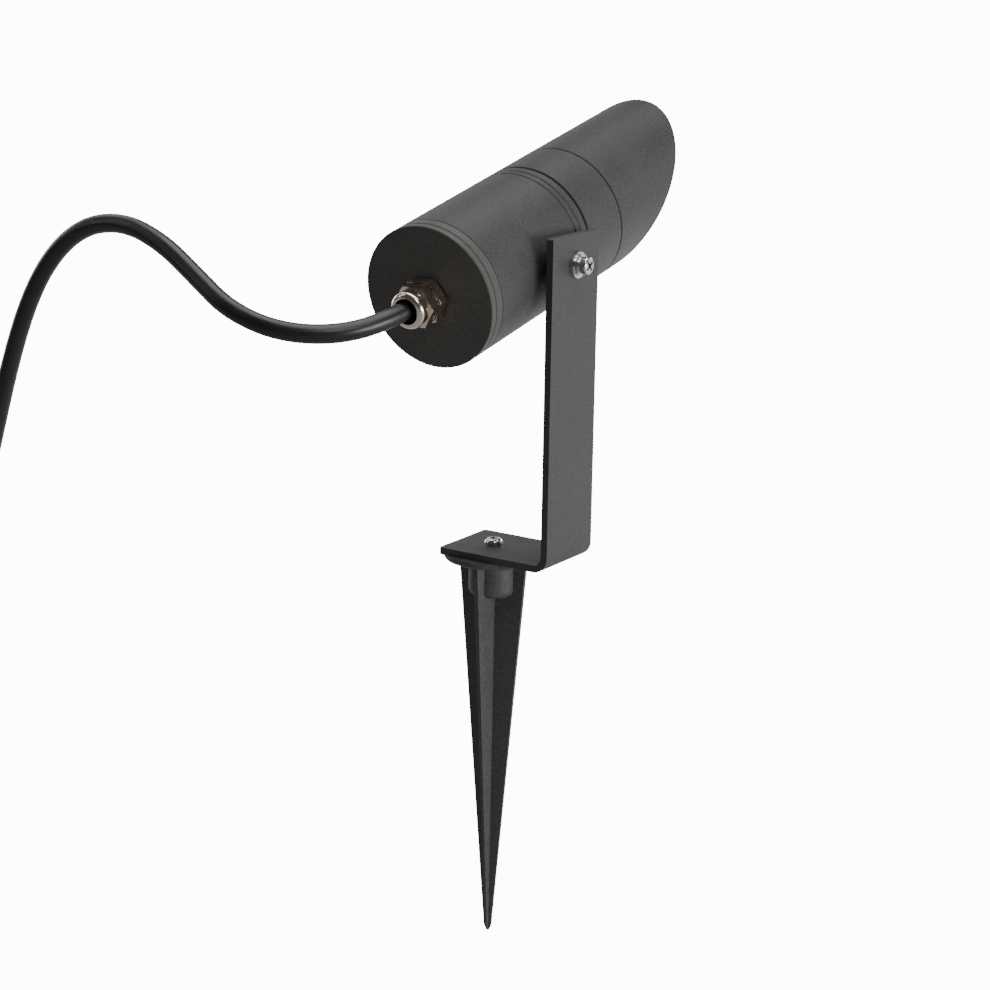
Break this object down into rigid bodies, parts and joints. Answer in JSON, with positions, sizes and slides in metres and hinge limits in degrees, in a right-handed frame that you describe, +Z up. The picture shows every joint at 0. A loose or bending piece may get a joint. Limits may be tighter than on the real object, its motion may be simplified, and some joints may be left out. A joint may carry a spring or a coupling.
{
  "type": "garden spike spotlight",
  "caption": "Tubular garden spotlight with a slanted glare hood on an L bracket over a cross-finned ground spike, with its supply cord.",
  "frame": {"origin": "on the spike's axis at the underside of its flange, which is the soil line", "axes": "+Z up along the spike, +Y the way the light points, +X towards the bracket's leg"},
  "size_m": [0.4134, 0.2279, 0.3556],
  "materials": {
    "spike_plastic": "moulded, satin",
    "insert_brass": "turned",
    "stainless": "machined, bright",
    "bracket_coat": "fine-textured powder coat",
    "nylon_black": "moulded",
    "body_coat": "fine-textured powder coat",
    "cap_black": "satin black coat",
    "seal_rubber": "soft, matt",
    "clear_glass": "toughened, polished",
    "gland_nickel": "nickel plated, bright",
    "plain_steel": "zinc plated",
    "holder_ceramic": "glazed",
    "lamp_white": "moulded",
    "chip_yellow": "phosphor",
    "lens_clear": "clear moulded",
    "block_cream": "moulded",
    "lead_white": "silicone sleeve",
    "core_brown": "extruded",
    "core_blue": "extruded",
    "core_green_yellow": "extruded, striped",
    "cable_black": "soft sheen",
    "tie_black": "moulded"
  },
  "bodies": {
    "spike": {"ground_spike": "spike_plastic", "spike_insert": "insert_brass", "foot_screw": "stainless"},
    "bracket": {"bracket": "bracket_coat", "cord_fall": "cable_black", "cord_coil": "cable_black", "cord_tie": "tie_black", "core_brown": "core_brown", "core_blue": "core_blue", "core_green_yellow": "core_green_yellow", "core_ferrules": "plain_steel"},
    "head": {"pivot_screw": "stainless", "pivot_spring_washer": "stainless", "pivot_flat_washer": "stainless", "pivot_friction_washer": "nylon_black", "pivot_spacer": "body_coat", "pivot_bush": "insert_brass", "body_tube": "body_coat", "rear_cap": "cap_black", "rear_seal_ring": "seal_rubber", "collar_seal": "seal_rubber", "front_ring": "body_coat", "inner_gasket": "seal_rubber", "outer_gasket": "seal_rubber", "front_glass": "clear_glass", "gland_seal_washer": "seal_rubber", "gland_body": "gland_nickel", "gland_locknut": "gland_nickel", "gland_seal": "seal_rubber", "gland_cap_nut": "gland_nickel", "holder_plate": "plain_steel", "plate_circlip": "plain_steel", "lamp_holder": "holder_ceramic", "holder_screws": "plain_steel", "lamp_housing": "lamp_white", "lamp_pins": "plain_steel", "led_board": "lamp_white", "led_chips": "chip_yellow", "lamp_lens": "lens_clear", "terminal_block": "block_cream", "cable_cores": "core_brown", "lamp_leads": "lead_white", "earth_lead": "core_green_yellow", "earth_lug": "plain_steel", "earth_screw": "plain_steel", "cord_lead": "cable_black"},
    "hood": {"glare_hood": "body_coat", "hood_lock_screw": "stainless"}
  },
  "joints": [
    {"name": "bracket_swivel", "type": "hinge", "parent": "spike", "child": "bracket", "pos_m": [0, 0, 0.003], "axis": [0, 0, 1], "range_deg": [-180, 180]},
    {"name": "head_tilt", "type": "hinge", "parent": "bracket", "child": "head", "pos_m": [0, 0, 0.1297], "axis": [1, 0, 0], "range_deg": [-57, 78]},
    {"name": "hood_turn", "type": "hinge", "parent": "head", "child": "hood", "pos_m": [0, 0, 0.1297], "axis": [0, 0.9774, 0.2113], "continuous": true}
  ]
}
